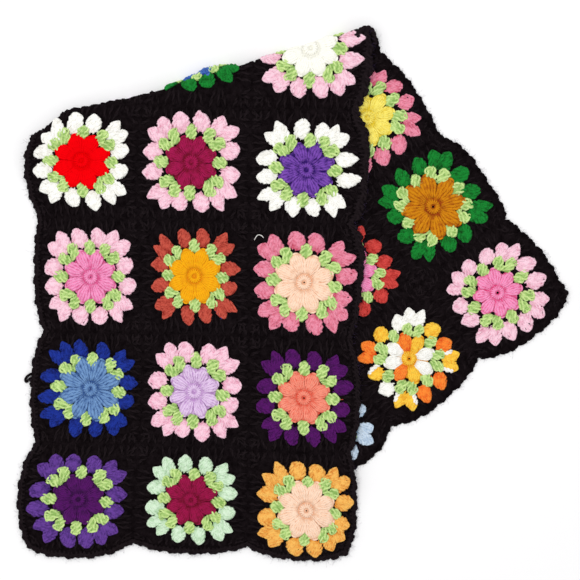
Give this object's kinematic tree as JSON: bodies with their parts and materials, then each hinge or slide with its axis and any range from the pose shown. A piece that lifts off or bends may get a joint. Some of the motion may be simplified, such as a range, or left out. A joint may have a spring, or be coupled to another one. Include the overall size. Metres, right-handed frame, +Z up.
{
  "type": "granny square blanket",
  "caption": "Crocheted blanket of bright flower granny squares on black, folded once on a slant and lying flat.",
  "frame": {"origin": "centre of the folded blanket's bounding box in plan, on the floor it lies on", "axes": "+Z up from the floor, +Y from the near end of the top layer towards the fold, +X to the side where the bottom layer comes out"},
  "size_m": [0.6146, 0.6002, 0.0231],
  "materials": {
    "amber_yarn": "matt crocheted yarn, softly fuzzy",
    "black_yarn": "matt crocheted yarn, softly fuzzy",
    "blue_yarn": "matt crocheted yarn, softly fuzzy",
    "brick_yarn": "matt crocheted yarn, softly fuzzy",
    "bright_orange_yarn": "matt crocheted yarn, softly fuzzy",
    "burgundy_yarn": "matt crocheted yarn, softly fuzzy",
    "coral_yarn": "matt crocheted yarn, softly fuzzy",
    "cream_yarn": "matt crocheted yarn, softly fuzzy",
    "crimson_yarn": "matt crocheted yarn, softly fuzzy",
    "denim_yarn": "matt crocheted yarn, softly fuzzy",
    "green_yarn": "matt crocheted yarn, softly fuzzy",
    "hot_pink_yarn": "matt crocheted yarn, softly fuzzy",
    "lavender_yarn": "matt crocheted yarn, softly fuzzy",
    "leaf_yarn": "matt crocheted yarn, softly fuzzy",
    "light_pink_yarn": "matt crocheted yarn, softly fuzzy",
    "mint_yarn": "matt crocheted yarn, softly fuzzy",
    "ochre_yarn": "matt crocheted yarn, softly fuzzy",
    "orange_yarn": "matt crocheted yarn, softly fuzzy",
    "pale_blue_yarn": "matt crocheted yarn, softly fuzzy",
    "peach_yarn": "matt crocheted yarn, softly fuzzy",
    "pink_yarn": "matt crocheted yarn, softly fuzzy",
    "plum_yarn": "matt crocheted yarn, softly fuzzy",
    "purple_yarn": "matt crocheted yarn, softly fuzzy",
    "red_yarn": "matt crocheted yarn, softly fuzzy",
    "rose_yarn": "matt crocheted yarn, softly fuzzy",
    "royal_blue_yarn": "matt crocheted yarn, softly fuzzy",
    "rust_yarn": "matt crocheted yarn, softly fuzzy",
    "salmon_yarn": "matt crocheted yarn, softly fuzzy",
    "violet_yarn": "matt crocheted yarn, softly fuzzy",
    "white_yarn": "matt crocheted yarn, softly fuzzy",
    "yellow_yarn": "matt crocheted yarn, softly fuzzy"
  },
  "bodies": {
    "root": {"square_r1_c1": "violet_yarn", "square_r1_c2": "mint_yarn", "square_r1_c3": "amber_yarn", "square_r2_c1": "royal_blue_yarn", "square_r2_c2": "salmon_yarn", "square_r2_c3": "plum_yarn", "square_r3_c1": "light_pink_yarn", "square_r3_c2": "rust_yarn", "square_r3_c3": "rose_yarn", "square_r4_c1": "white_yarn", "square_r4_c2": "light_pink_yarn", "square_r4_c3": "white_yarn", "square_r5_c1": "lavender_yarn", "square_r5_c2": "green_yarn", "square_r5_c3": "light_pink_yarn", "square_r6_c1": "mint_yarn", "square_r6_c2": "purple_yarn", "square_r6_c3": "rose_yarn", "square_r7_c1": "salmon_yarn", "square_r7_c2": "brick_yarn", "square_r7_c3": "green_yarn", "square_r8_c1": "pale_blue_yarn", "square_r8_c2": "amber_yarn", "square_r8_c3": "light_pink_yarn", "edging": "black_yarn"}
  },
  "joints": []
}
